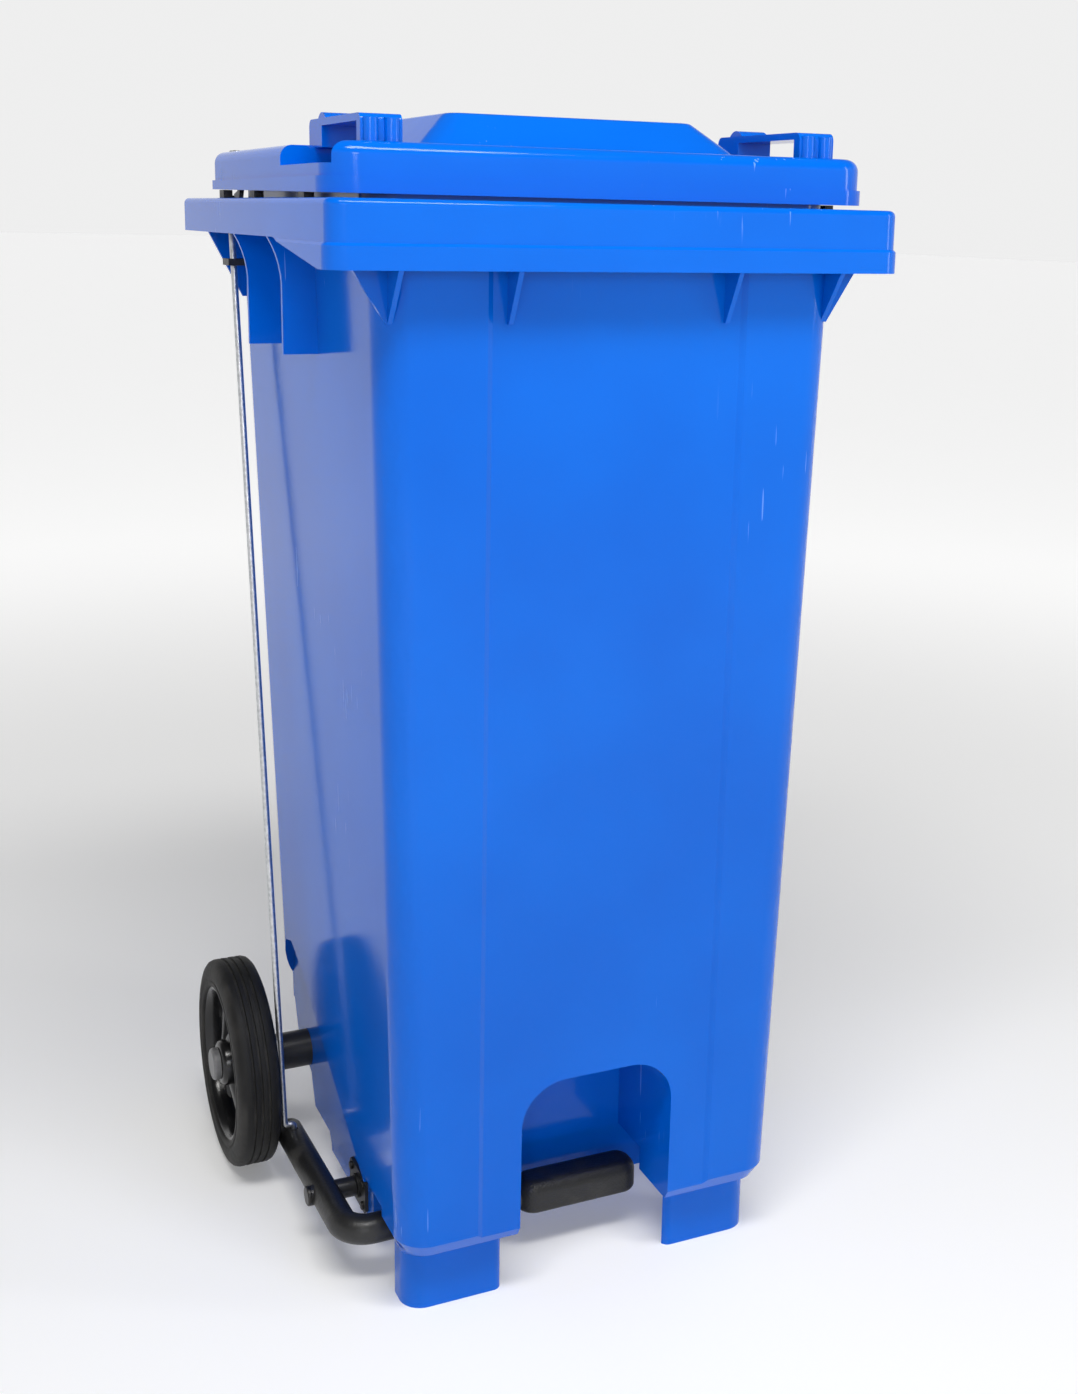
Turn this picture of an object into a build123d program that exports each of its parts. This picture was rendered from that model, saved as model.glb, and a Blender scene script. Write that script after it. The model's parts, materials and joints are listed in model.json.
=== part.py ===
from build123d import *
import math
import os

# Two-wheeled refuse bin of about 120 litres with a pedal that lifts the lid.
# Millimetres. +Z is up, the front faces -Y, and +X is to the right seen from the front.
# Places along the depth are written as distances behind the front edge of the rim.

# --- driving dimensions: the tub -------------------------------------------------
RIM_WIDTH = 480.0            # across the collar
RIM_DEPTH = 520.0            # front of the collar to the back of the handle
RIM_HEIGHT = 930.0           # ground to the top of the collar deck
RIM_CORNER = 18.0
WALL = 3.5                   # moulded wall of tub, collar and lid
DECK = 4.0                   # flat top of the collar
COLLAR_FRONT_DROP = 50.0     # height of the skirt across the front
COLLAR_SIDE_DROP = 30.0      # height of the skirt along the sides and back
SKIRT_SLOPE_START = 27.0     # the side skirt rises from here
SKIRT_SLOPE_END = 165.0      # to here

COLLAR_SIDE_REACH = 43.0     # collar edge to tub wall, at the top
COLLAR_FRONT_REACH = 24.0
COLLAR_REAR_REACH = 50.0
COLLAR_CREASE_DROP = 33.0    # crease round the collar, below its top
COLLAR_STEP = 2.0            # the collar is set in this much above the crease
COLLAR_EDGE_ROUND = 5.0
RAIN_EDGE_HEIGHT = 9.0       # upstand on the deck inside the lid
RAIN_EDGE_STOP = 24.0        # it stops this far short of the back of the lid
SIDE_TAPER = 22.0            # each wall leans in by this much down to the ground
FRONT_TAPER = 14.0
REAR_TAPER = 47.0
TUB_CORNER = 28.0

MOUTH_FRONT_LIP = 22.0       # deck that shows inside the tub's front wall
HINGE_LEDGE = 84.0           # back of the mouth to the back of the rim
PANEL_HALF_WIDTH = 106.0     # the front wall is set back between these
PANEL_DEPTH = 2.5
PANEL_SLOPE = 4.5            # width of the slope at each side of the panel

LEG_BOTTOM = 60.0            # underside of the tub over the feet
LEG_BEVEL = 8.0              # the tub's lower edge slopes in by this
LEG_BEVEL_HEIGHT = 13.0
LEG_BACK = 97.0              # depth at which the pedal channel starts
CHANNEL_TOP = 82.0
WELL_FRONT = 150.0           # lowest part of the tub floor
WELL_BOTTOM = 30.0

FOOT_INNER = 79.0
FOOT_OUTER = 167.0
FOOT_FRONT = 60.0
FOOT_TOP = 50.0
FOOT_WALL = 5.0
FOOT_ROUND = 20.0            # outer front corner of a foot
FOOT_CORNER = 8.0            # its other corners
FOOT_FLARE = 4.0
FOOT_FRONT_FLARE = 13.0

PEDAL_OPENING_HALF_WIDTH = 71.0
PEDAL_OPENING_BACK = 144.0
PEDAL_OPENING_TOP = 202.0
PEDAL_OPENING_CORNER = 40.0

FIN_PLACES = (195.0, 312.0)  # two lifting fins on each side
FIN_REACH = 29.0
FIN_DROP = 124.0             # rim to the bottom of a fin
FIN_THICKNESS = 4.0
GUSSET_DROP = 40.0
GUSSET_THICKNESS = 4.0
GUSSET_HALF_SPACING = 92.5
CORNER_GUSSET_INSET = 12.0   # side of the tub to the gusset at its corner

HANDLE_HALF_WIDTH = 150.0
HANDLE_BAR_DEPTH = 17.0
HANDLE_BAR_HEIGHT = 28.0
FINGER_LIP = 4.0             # deck left behind the tub's back wall

# --- driving dimensions: wheels and axle ------------------------------------------
WHEEL_RADIUS = 100.0
TYRE_WIDTH = 41.0
TYRE_INNER_RADIUS = 74.0
TYRE_GROOVES = 3
TYRE_GROOVE_DEPTH = 2.0
TYRE_GROOVE_WIDTH = 2.4
TYRE_GROOVE_PITCH = 7.0
HUB_RIM_THICKNESS = 7.0
HUB_BOSS_RADIUS = 22.0
SPOKES = 5
SPOKE_WIDTH = 20.0
SPOKE_THICKNESS = 12.0
HUB_BUSH_RADIUS = 14.0
AXLE_RADIUS = 10.0
RUNNING_CLEARANCE = 0.05     # radial, shafts that turn
SIDE_CLEARANCE = 0.5         # along the axle, each side of a wheel
AXLE_BEHIND = 151.0          # axle to the back of the rim
HOUSING_INSET = 72.0         # rim edge to the tub wall beside each wheel
SPACER_LENGTH = 47.5
SPACER_RADIUS = 18.0
WASHER_THICKNESS = 1.5
WASHER_RADIUS = 17.0
WEB_THICKNESS = 6.0
WEB_INNER_PLACE = 55.0
AXLE_CAP_RADIUS = 15.5
AXLE_CAP_LENGTH = 7.0

# --- driving dimensions: lid ---------------------------------------------------
LID_SIDE_INSET = 9.5         # rim edge to lid edge
LID_FRONT_INSET = 33.0
LID_REAR_INSET = 80.0
LID_GAP = 3.5                # deck to the lid's front edge
LID_REAR_LIFT = 4.5          # extra gap at the back
LID_CORNER = 32.0
LID_BAND = 12.0              # proud lower band
LID_BAND_PROUD = 2.5
LID_HEIGHT = 37.0
LID_EDGE_ROUND = 10.0
CROWN_FRONT = 86.0           # foot of the raised centre of the lid
CROWN_BACK = 110.0           # from the back of the rim
CROWN_HALF_WIDTH = 142.0
CROWN_HEIGHT = 27.0
CROWN_SLOPE = 34.0
CROWN_CORNER = 20.0
CROWN_EDGE_ROUND = 8.0

GRIP_HALF_SPACING = 184.0    # centre of each lid grip
GRIP_WIDTH = 32.0
GRIP_FRONT = 52.0
GRIP_BACK = 190.0
GRIP_HEIGHT = 20.0
GRIP_BAR = 5.5
GRIP_FRONT_LEG = 9.0
GRIP_REAR_LEG = 36.0
HOLLOW_FRONT = 48.0
HOLLOW_BACK = 174.0
HOLLOW_DEPTH = 16.0
HOLLOW_REACH = 72.0

# --- driving dimensions: hinge --------------------------------------------------
HINGE_BEHIND = 65.0          # hinge line to the back of the rim
HINGE_RISE = 16.0            # hinge line above the deck
HINGE_HALF_SPACING = 120.0
HINGE_PIN_RADIUS = 4.0
KNUCKLE_RADIUS = 9.0
KNUCKLE_LENGTH = 28.0
EAR_THICKNESS = 8.0
EAR_CLEARANCE = 1.0
LID_OPEN_DEGREES = 75.0

# --- driving dimensions: pedal, lift rod -------------------------------------------
TUBE_RADIUS = 13.0
TUBE_WALL = 2.0
TUBE_BEND = 23.0
LEVER_INSET = 38.0           # rim edge to the lever arm
LEVER_FRONT = 114.0          # crossbar of the pedal lever
LEVER_FRONT_HEIGHT = 52.0
LEVER_REAR_HEIGHT = 42.5
LEVER_TAIL = 17.0            # tube beyond the rod's hook
CROSSBAR_END = 56.0
PIVOT_PLACE = 190.0
PIVOT_BOLT_RADIUS = 5.0
PIVOT_BUSH_WALL = 2.0
PIVOT_SLEEVE_WALL = 2.0
ROD_ARM = 107.0              # pivot to the rod's hook
ROD_RADIUS = 3.0
ROD_INSET = 29.0             # rim edge to the lift rod
ROD_CLEARANCE = 0.6          # loose holes round the rod
ROD_LIFT_REACH = 26.4        # hinge line forward to the rod's top pin
ROD_LIFT_DROP = 20.0         # and down to it
ROD_LIFT_PER_RADIAN = 30.5   # rise of the rod for each radian of the lid
PAD_START = -46.0
PAD_END = 70.0
PAD_DEPTH = 36.0
PAD_HEIGHT = 29.0
PAD_CORNER = 16.0
PAD_DOME = 11.0
LUG_THICKNESS = 4.0
LUG_FLANGE = 12.0
LUG_LENGTH = 26.0
LUG_CLEARANCE = 10.0         # the lid's rounded back edge to the lug
RIVET_PLACES = (8.0, 20.0)   # from the back of the lug

# --- places worked out from them ----------------------------------------------------
FRONT = -RIM_DEPTH / 2.0
HALF_RIM = RIM_WIDTH / 2.0
FIN_BOTTOM = RIM_HEIGHT - FIN_DROP
FOOT_BACK = LEVER_FRONT - TUBE_RADIUS - 2
HOUSING_HALF_WIDTH = HALF_RIM - HOUSING_INSET
LEVER_X = LEVER_INSET - HALF_RIM
ROD_X = ROD_INSET - HALF_RIM
SKIRT_ROOT = HALF_RIM - WALL + 0.5      # fins and gussets end inside the skirt
AXLE_Y = RIM_DEPTH - AXLE_BEHIND
AXLE_Z = WHEEL_RADIUS
HINGE_Y = RIM_DEPTH - HINGE_BEHIND
HINGE_Z = RIM_HEIGHT + HINGE_RISE
WHEEL_INNER = HOUSING_HALF_WIDTH + SPACER_LENGTH + WASHER_THICKNESS + SIDE_CLEARANCE
WHEEL_OUTER = WHEEL_INNER + TYRE_WIDTH
WHEEL_CENTRE = (WHEEL_INNER + WHEEL_OUTER) / 2.0
LID_BOTTOM = RIM_HEIGHT + LID_GAP
LID_TOP = LID_BOTTOM + LID_HEIGHT
LID_BACK = RIM_DEPTH - LID_REAR_INSET
HOOK_Y = PIVOT_PLACE + ROD_ARM
LEVER_REAR = HOOK_Y + LEVER_TAIL
ROD_TOP_Y = HINGE_Y - ROD_LIFT_REACH
ROD_TOP_Z = HINGE_Z - ROD_LIFT_DROP
LID_OPEN = math.radians(LID_OPEN_DEGREES)
ROD_TRAVEL = ROD_LIFT_PER_RADIAN * LID_OPEN
EPS = 0.01


def lever_height(y):
    """Height of the pedal tube's centre line at depth y."""
    share = (y - LEVER_FRONT) / (LEVER_REAR - LEVER_FRONT)
    return LEVER_FRONT_HEIGHT + share * (LEVER_REAR_HEIGHT - LEVER_FRONT_HEIGHT)


PIVOT_Z = lever_height(PIVOT_PLACE)
HOOK_Z = lever_height(HOOK_Y) + TUBE_RADIUS + ROD_RADIUS + 1.3


def rod_y(z):
    """Depth of the lift rod's centre line at height z."""
    share = (z - HOOK_Z) / (ROD_TOP_Z - HOOK_Z)
    return HOOK_Y + share * (ROD_TOP_Y - HOOK_Y)


# --- small building blocks ------------------------------------------------------
def block(x0, x1, y0, y1, z0, z1):
    """A box between two corners."""
    box = Box(x1 - x0, y1 - y0, z1 - z0)
    return Pos((x0 + x1) / 2, (y0 + y1) / 2, (z0 + z1) / 2) * box


def side_slab(points, x0, x1):
    """A slab whose outline is given as (depth, height) pairs, from x0 to x1."""
    outline = Polyline(*[(x0, y, z) for y, z in points], close=True)
    return extrude(make_face(outline), amount=x1 - x0, dir=(1, 0, 0))


def front_slab(points, y0, y1):
    """A slab whose outline is given as (width, height) pairs, from y0 to y1."""
    outline = Polyline(*[(x, y0, z) for x, z in points], close=True)
    return extrude(make_face(outline), amount=y1 - y0, dir=(0, 1, 0))


def round_x(radius, x0, x1, y, z):
    """A round bar along X."""
    return Pos((x0 + x1) / 2, y, z) * Rot(0, 90, 0) * Cylinder(radius, abs(x1 - x0))


def rounded(x_half, y0, y1, z, corner):
    """A flat rounded rectangle at height z."""
    corner = min(corner, x_half * 0.9, (y1 - y0) * 0.45)
    return Pos(0, (y0 + y1) / 2, z) * RectangleRounded(2 * x_half, y1 - y0, corner)


def rounded_block(x_half, y0, y1, z0, z1, corner):
    """A rounded rectangle raised from z0 to z1."""
    return extrude(rounded(x_half, y0, y1, z0, corner), amount=z1 - z0, dir=(0, 0, 1))


def both_sides(piece):
    """A piece and its mirror image across the middle plane."""
    return piece + mirror(piece, about=Plane.YZ)


def save(piece, name):
    """Write one node, moved so the model's origin is under its middle."""
    placed = Pos(0, FRONT, 0) * piece
    placed.label = name
    export_step(placed, f"parts/{name}.step")


# --- tub ---------------------------------------------------------------------
def tub_section(z, inset):
    """The tub's outline at height z, set in by inset."""
    lean = (RIM_HEIGHT - z) / RIM_HEIGHT
    x_half = HALF_RIM - COLLAR_SIDE_REACH - SIDE_TAPER * lean - inset
    y0 = COLLAR_FRONT_REACH + FRONT_TAPER * lean + inset
    y1 = RIM_DEPTH - COLLAR_REAR_REACH - REAR_TAPER * lean - inset
    return rounded(x_half, y0, y1, z, TUB_CORNER - inset)


def underside(grow):
    """Outline of the space above the tub's floor; grow lifts the floor."""
    far = RIM_DEPTH + 60
    well_back = AXLE_Y - 83
    return [
        (-60, LEG_BOTTOM + grow), (LEG_BACK - grow, LEG_BOTTOM + grow),
        (LEG_BACK - grow, CHANNEL_TOP + grow), (WELL_FRONT + grow, CHANNEL_TOP + grow),
        (WELL_FRONT + grow, WELL_BOTTOM + grow), (well_back - grow, WELL_BOTTOM + grow),
        (well_back + 8 - grow, AXLE_Z + 26 + grow), (far, AXLE_Z + 38 + grow),
        (far, RIM_HEIGHT + 60), (-60, RIM_HEIGHT + 60),
    ]


def wheel_housing(grow):
    """The space cut from one side of the tub for a wheel and the pedal lever."""
    outline = [
        (AXLE_Y - 246, AXLE_Z - 41), (AXLE_Y - 8, AXLE_Z + 103), (AXLE_Y + 12, AXLE_Z + 111),
        (AXLE_Y + 34, AXLE_Z + 104), (AXLE_Y + 45, AXLE_Z + 84), (AXLE_Y + 58, AXLE_Z + 52),
        (RIM_DEPTH + 60, AXLE_Z + 52), (RIM_DEPTH + 60, -20), (AXLE_Y - 246, -20),
    ]
    slab = side_slab(outline, HOUSING_HALF_WIDTH, HALF_RIM + 40)
    if grow == 0:
        return slab
    return offset(slab, grow, kind=Kind.INTERSECTION)


def pedal_opening(grow):
    """The arched foot space in the front of the tub."""
    top = PEDAL_OPENING_TOP + grow
    half = PEDAL_OPENING_HALF_WIDTH + grow
    corner = PEDAL_OPENING_CORNER + grow
    arch = block(-half, half, -20, PEDAL_OPENING_BACK + grow, -20, top)
    edges = arch.edges().filter_by(Axis.Y).group_by(Axis.Z)[-1]
    return fillet(edges, corner)


def panel_space(grow):
    """The shallow set-back panel down the middle of the front."""
    outlines = []
    for z in (0, RIM_HEIGHT):
        face = front_wall_y(z) + grow
        half = PANEL_HALF_WIDTH + grow
        wide = half + PANEL_SLOPE
        corners = [(-wide, -20, z), (-wide, face, z), (-half, face + PANEL_DEPTH, z),
                   (half, face + PANEL_DEPTH, z), (wide, face, z), (wide, -20, z)]
        outlines.append(make_face(Polyline(*corners, close=True)))
    return loft(outlines, ruled=True)


def tub_volume(inset):
    """The tub as a solid, with every face set in by inset."""
    low = inset + LEG_BEVEL
    bevel_top = LEG_BOTTOM + LEG_BEVEL_HEIGHT
    bulk = loft([tub_section(0, low), tub_section(LEG_BOTTOM, low)])
    bulk += loft([tub_section(LEG_BOTTOM, low), tub_section(bevel_top, inset)])
    bulk += loft([tub_section(bevel_top, inset), tub_section(RIM_HEIGHT, inset)])
    bulk -= panel_space(inset)
    bulk = bulk & side_slab(underside(inset), -HALF_RIM, HALF_RIM)
    housing = wheel_housing(inset)
    bulk = bulk - housing - mirror(housing, about=Plane.YZ) - pedal_opening(inset)
    return bulk


def front_wall_y(z):
    """Depth of the tub's front face at height z."""
    return COLLAR_FRONT_REACH + FRONT_TAPER * (RIM_HEIGHT - z) / RIM_HEIGHT


def side_wall_x(z):
    """Half width of the tub at height z."""
    return HALF_RIM - COLLAR_SIDE_REACH - SIDE_TAPER * (RIM_HEIGHT - z) / RIM_HEIGHT


def collar_form(inset, bottom, top):
    """The two levels of the collar as solids, stepped at the crease, set in by inset."""
    crease = RIM_HEIGHT - COLLAR_CREASE_DROP
    band = rounded_block(HALF_RIM - inset, inset, RIM_DEPTH - inset, bottom, crease,
                         RIM_CORNER - inset)
    drawn = inset + COLLAR_STEP
    shoulder = crease + COLLAR_STEP
    band += loft([rounded(HALF_RIM - inset, inset, RIM_DEPTH - inset, crease, RIM_CORNER - inset),
                  rounded(HALF_RIM - drawn, drawn, RIM_DEPTH - drawn, shoulder,
                          RIM_CORNER - drawn)])
    upper = rounded_block(HALF_RIM - drawn, drawn, RIM_DEPTH - drawn, shoulder, top,
                          RIM_CORNER - drawn)
    return band, upper


def collar():
    """The rim: a flat deck with a skirt that hangs from its edge."""
    bottom = RIM_HEIGHT - COLLAR_FRONT_DROP
    band, upper = collar_form(0, bottom, RIM_HEIGHT)
    upper = fillet(upper.edges().group_by(Axis.Z)[-1], COLLAR_EDGE_ROUND)
    ring = band + upper
    band, upper = collar_form(WALL, bottom - 1, RIM_HEIGHT - DECK)
    hollow = band + upper
    side_edge = RIM_HEIGHT - COLLAR_SIDE_DROP
    trim = side_slab([(SKIRT_SLOPE_START, bottom), (SKIRT_SLOPE_END, side_edge),
                      (RIM_DEPTH + 5, side_edge), (RIM_DEPTH + 5, bottom - 5),
                      (SKIRT_SLOPE_START, bottom - 5)], -HALF_RIM - 5, HALF_RIM + 5)
    return ring - hollow - trim


def handle_bar():
    """The pulling bar behind the hinge ledge."""
    bar = block(-HANDLE_HALF_WIDTH - WALL, HANDLE_HALF_WIDTH + WALL,
                RIM_DEPTH - HANDLE_BAR_DEPTH, RIM_DEPTH,
                RIM_HEIGHT - HANDLE_BAR_HEIGHT, RIM_HEIGHT)
    return fillet(bar.edges().filter_by(Axis.X), 5)


def finger_gap():
    """The gap between the handle bar and the tub's back wall."""
    return block(-HANDLE_HALF_WIDTH, HANDLE_HALF_WIDTH,
                 RIM_DEPTH - COLLAR_REAR_REACH + FINGER_LIP, RIM_DEPTH - HANDLE_BAR_DEPTH,
                 RIM_HEIGHT - COLLAR_SIDE_DROP - 20, RIM_HEIGHT + 5)


def fin(place):
    """One upright lifting fin under the side of the collar."""
    top = RIM_HEIGHT - DECK / 2
    root = HALF_RIM - COLLAR_SIDE_REACH - SIDE_TAPER - 2
    edge = side_wall_x(FIN_BOTTOM) + FIN_REACH
    shoulder = RIM_HEIGHT - COLLAR_SIDE_DROP + 4
    outline = (
        Polyline((root, place, shoulder), (root, place, top), (SKIRT_ROOT, place, top),
                 (SKIRT_ROOT, place, shoulder))
        + Spline((SKIRT_ROOT, place, shoulder), (edge + 4, place, shoulder - 20),
                 (edge, place, shoulder - 48))
        + Polyline((edge, place, shoulder - 48), (edge, place, FIN_BOTTOM),
                   (root, place, FIN_BOTTOM), (root, place, shoulder))
    )
    return extrude(make_face(outline), amount=FIN_THICKNESS, dir=(0, 1, 0))


def side_gusset(place, set_in):
    """A three-cornered stiffener across the side of the tub."""
    top = RIM_HEIGHT - DECK / 2
    skirt = RIM_HEIGHT - COLLAR_SIDE_DROP
    low = RIM_HEIGHT - COLLAR_FRONT_DROP - GUSSET_DROP
    wall = side_wall_x(low) - set_in
    return front_slab([(wall - TUB_CORNER / 2, top), (SKIRT_ROOT, top),
                       (SKIRT_ROOT, skirt + 4), (HALF_RIM - 14, skirt), (wall, low),
                       (wall - TUB_CORNER / 2, low)], place, place + GUSSET_THICKNESS)


def front_gusset(x, set_in):
    """A three-cornered stiffener under the front of the collar."""
    top = RIM_HEIGHT - DECK / 2
    skirt = RIM_HEIGHT - COLLAR_FRONT_DROP
    low = skirt - GUSSET_DROP
    root = front_wall_y(low) + PANEL_DEPTH + WALL / 2 + set_in
    return side_slab([(root, top), (WALL - 0.5, top), (WALL - 0.5, skirt + 1), (root - 5, low), (root, low)],
                     x - GUSSET_THICKNESS / 2, x + GUSSET_THICKNESS / 2)


def foot():
    """One front foot: a front wall and an outer wall, flared where they meet the tub."""
    post = extrude(rounded_foot(0, 0, 0), amount=FOOT_TOP, dir=(0, 0, 1))
    flare = loft([rounded_foot(FOOT_TOP, 0, 0),
                  rounded_foot(LEG_BOTTOM + 1, FOOT_FLARE, FOOT_FRONT_FLARE)])
    hollow = extrude(rounded_foot(-1, -FOOT_WALL, -FOOT_WALL), amount=LEG_BOTTOM + 1,
                     dir=(0, 0, 1))
    hollow += block(FOOT_INNER - FOOT_WALL, FOOT_OUTER - FOOT_ROUND, FOOT_FRONT + FOOT_WALL,
                    FOOT_BACK + 1, -1, LEG_BOTTOM)
    hollow += block(FOOT_INNER - FOOT_WALL, FOOT_OUTER - FOOT_WALL, FOOT_FRONT + FOOT_ROUND,
                    FOOT_BACK + 1, -1, LEG_BOTTOM)
    return post + flare - hollow


def rounded_foot(z, grow, forward):
    """Outline of a foot at height z, wider by grow on each side and forward at the front."""
    width = FOOT_OUTER - FOOT_INNER + 2 * grow
    depth = FOOT_BACK - FOOT_FRONT + forward
    centre_x = (FOOT_OUTER + FOOT_INNER) / 2
    centre_y = (FOOT_FRONT - forward + FOOT_BACK) / 2
    outline = Rectangle(width, depth)
    outline = fillet(outline.vertices().sort_by(Axis.X)[:2], FOOT_CORNER + grow)
    outline = fillet(outline.vertices().group_by(Axis.X)[-1].sort_by(Axis.Y)[-1],
                     FOOT_CORNER + grow)
    outer_front = outline.vertices().group_by(Axis.X)[-1].sort_by(Axis.Y)[0]
    return Pos(centre_x, centre_y, z) * fillet(outer_front, FOOT_ROUND + grow)


def axle_web(x0):
    """A web under the back of the floor that carries the axle."""
    outline = [(AXLE_Y - 87, WELL_BOTTOM + 2), (AXLE_Y - 76, AXLE_Z - 53),
               (AXLE_Y - 24, AXLE_Z - 53), (AXLE_Y - 11, AXLE_Z - 22),
               (AXLE_Y + 36, AXLE_Z - 2), (AXLE_Y + 54, AXLE_Z + 40),
               (AXLE_Y - 74, AXLE_Z + 40), (AXLE_Y - 87, AXLE_Z + 20)]
    return side_slab(outline, x0, x0 + WEB_THICKNESS)


def rain_edge():
    """The low upstand inside the lid that keeps rain out, open at the back."""
    upstand = rounded_block(side_wall_x(RIM_HEIGHT),
                            COLLAR_FRONT_REACH + MOUTH_FRONT_LIP - WALL, RIM_DEPTH,
                            RIM_HEIGHT - DECK / 2, RIM_HEIGHT + RAIN_EDGE_HEIGHT, TUB_CORNER)
    return upstand & block(-HALF_RIM, HALF_RIM, 0, LID_BACK - RAIN_EDGE_STOP,
                           0, RIM_HEIGHT + RAIN_EDGE_HEIGHT)


def hinge_ears():
    """Two pairs of ears on the ledge that hold the lid's hinge pins."""
    half = KNUCKLE_LENGTH / 2 + EAR_CLEARANCE
    ears = None
    for inner in (HINGE_HALF_SPACING - half - EAR_THICKNESS, HINGE_HALF_SPACING + half):
        outer = inner + EAR_THICKNESS
        post = block(inner, outer, HINGE_Y - KNUCKLE_RADIUS, HINGE_Y + KNUCKLE_RADIUS,
                     RIM_HEIGHT - DECK / 2, HINGE_Z)
        ear = post + round_x(KNUCKLE_RADIUS, inner, outer, HINGE_Y, HINGE_Z)
        ears = ear if ears is None else ears + ear
    return both_sides(ears)


def rod_hole():
    """The opening in the deck for the rod and the lid's lug."""
    return block(ROD_X - 6, -side_wall_x(RIM_HEIGHT) - 0.7, ROD_TOP_Y - 24, ROD_TOP_Y + 18,
                 RIM_HEIGHT - DECK - 1, RIM_HEIGHT + 1)


def pivot_screw_places():
    """Where the pedal bracket's screws go, as (depth, height)."""
    return [(PIVOT_PLACE + dy, PIVOT_Z + dz) for dy in (-17, 17) for dz in (-11, 11)]


def body_tub():
    """The moulded tub with collar, fins, feet, axle webs and hinge ears."""
    tub = tub_volume(0) + collar() + handle_bar()
    extras = foot() + axle_web(HOUSING_HALF_WIDTH - WEB_THICKNESS) + axle_web(WEB_INNER_PLACE)
    for place in FIN_PLACES:
        extras += fin(place)
    extras += side_gusset(COLLAR_FRONT_REACH + TUB_CORNER / 4, TUB_CORNER / 4)
    extras += side_gusset(RIM_DEPTH - COLLAR_REAR_REACH - TUB_CORNER / 2, 0)
    extras += front_gusset(GUSSET_HALF_SPACING, 0)
    extras += front_gusset(side_wall_x(RIM_HEIGHT) - CORNER_GUSSET_INSET, TUB_CORNER / 4)
    tub += both_sides(extras) + hinge_ears() + rain_edge()
    inside = tub_volume(WALL) & block(-HALF_RIM, HALF_RIM, 0, RIM_DEPTH, 0, RIM_HEIGHT - DECK)
    mouth_half = side_wall_x(RIM_HEIGHT) - WALL
    mouth = rounded_block(mouth_half, COLLAR_FRONT_REACH + MOUTH_FRONT_LIP,
                          RIM_DEPTH - HINGE_LEDGE, RIM_HEIGHT - DECK - 1, RIM_HEIGHT + RAIN_EDGE_HEIGHT + 1,
                          TUB_CORNER - WALL)
    tub = tub - inside - mouth - finger_gap() - rod_hole()
    tub -= round_x(AXLE_RADIUS, -HALF_RIM, HALF_RIM, AXLE_Y, AXLE_Z)
    ear_end = HINGE_HALF_SPACING + KNUCKLE_LENGTH
    pin_bore = round_x(HINGE_PIN_RADIUS, 60, ear_end + 20, HINGE_Y, HINGE_Z)
    tub -= both_sides(pin_bore)
    for y, z in pivot_screw_places():
        tub -= round_x(2, -HOUSING_HALF_WIDTH - 1, -HOUSING_HALF_WIDTH + WALL + 1, y, z)
    return tub


# --- wheels -------------------------------------------------------------------
def tyre():
    """Solid rubber tyre with grooves round the tread."""
    half = TYRE_WIDTH / 2
    shoulder = 7
    profile = Polyline((TYRE_INNER_RADIUS, 0, -half + 2.5), (WHEEL_RADIUS - 14, 0, -half),
                       (WHEEL_RADIUS - 4, 0, -half + 2), (WHEEL_RADIUS, 0, -half + shoulder),
                       (WHEEL_RADIUS, 0, half - shoulder), (WHEEL_RADIUS - 4, 0, half - 2),
                       (WHEEL_RADIUS - 14, 0, half), (TYRE_INNER_RADIUS, 0, half - 2.5),
                       close=True)
    ring = revolve(make_face(profile), Axis.Z)
    for index in range(TYRE_GROOVES):
        place = (index - (TYRE_GROOVES - 1) / 2) * TYRE_GROOVE_PITCH
        cut = Cylinder(WHEEL_RADIUS + 1, TYRE_GROOVE_WIDTH)
        cut -= Cylinder(WHEEL_RADIUS - TYRE_GROOVE_DEPTH, TYRE_GROOVE_WIDTH)
        ring -= Pos(0, 0, place) * cut
    return ring


def hub():
    """Moulded hub: rim ring, five spokes and a bored boss."""
    half = TYRE_WIDTH / 2
    outer = TYRE_INNER_RADIUS
    rim_half = half - 2.5
    wheel = Cylinder(outer, 2 * rim_half) - Cylinder(outer - HUB_RIM_THICKNESS, 2 * rim_half)
    reach = outer - HUB_RIM_THICKNESS / 2
    for index in range(SPOKES):
        spoke = Pos(reach / 2, 0, 0) * Box(reach, SPOKE_WIDTH, SPOKE_THICKNESS)
        wheel += Rot(0, 0, 90 + index * 360 / SPOKES) * spoke
    wheel += Cylinder(HUB_BOSS_RADIUS, TYRE_WIDTH - 2)
    return wheel - Cylinder(HUB_BUSH_RADIUS, TYRE_WIDTH)


def hub_bush():
    """Nylon bush pressed in the hub, turning on the axle."""
    bush = Cylinder(HUB_BUSH_RADIUS, TYRE_WIDTH - 2)
    return bush - Cylinder(AXLE_RADIUS + RUNNING_CLEARANCE, TYRE_WIDTH)


def on_axle(piece, side, distance):
    """Turn a piece so its own Z axis lies outward along the axle."""
    return Pos(side * distance, AXLE_Y, AXLE_Z) * Rot(0, 90 * side, 0) * piece


def tube_piece(outer, inner, length):
    """A plain ring or tube that stands on its own base."""
    ring = Cylinder(outer, length) - Cylinder(inner, length)
    return Pos(0, 0, length / 2) * ring


def axle_cap():
    """Domed push-on cap on the end of the axle."""
    cap = Pos(0, 0, AXLE_CAP_LENGTH / 2) * Cylinder(AXLE_CAP_RADIUS, AXLE_CAP_LENGTH)
    cap = fillet(cap.edges().group_by(Axis.Z)[-1], 3)
    depth = AXLE_CAP_LENGTH - 2.5
    return cap - Pos(0, 0, depth / 2) * Cylinder(AXLE_RADIUS, depth)


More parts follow.
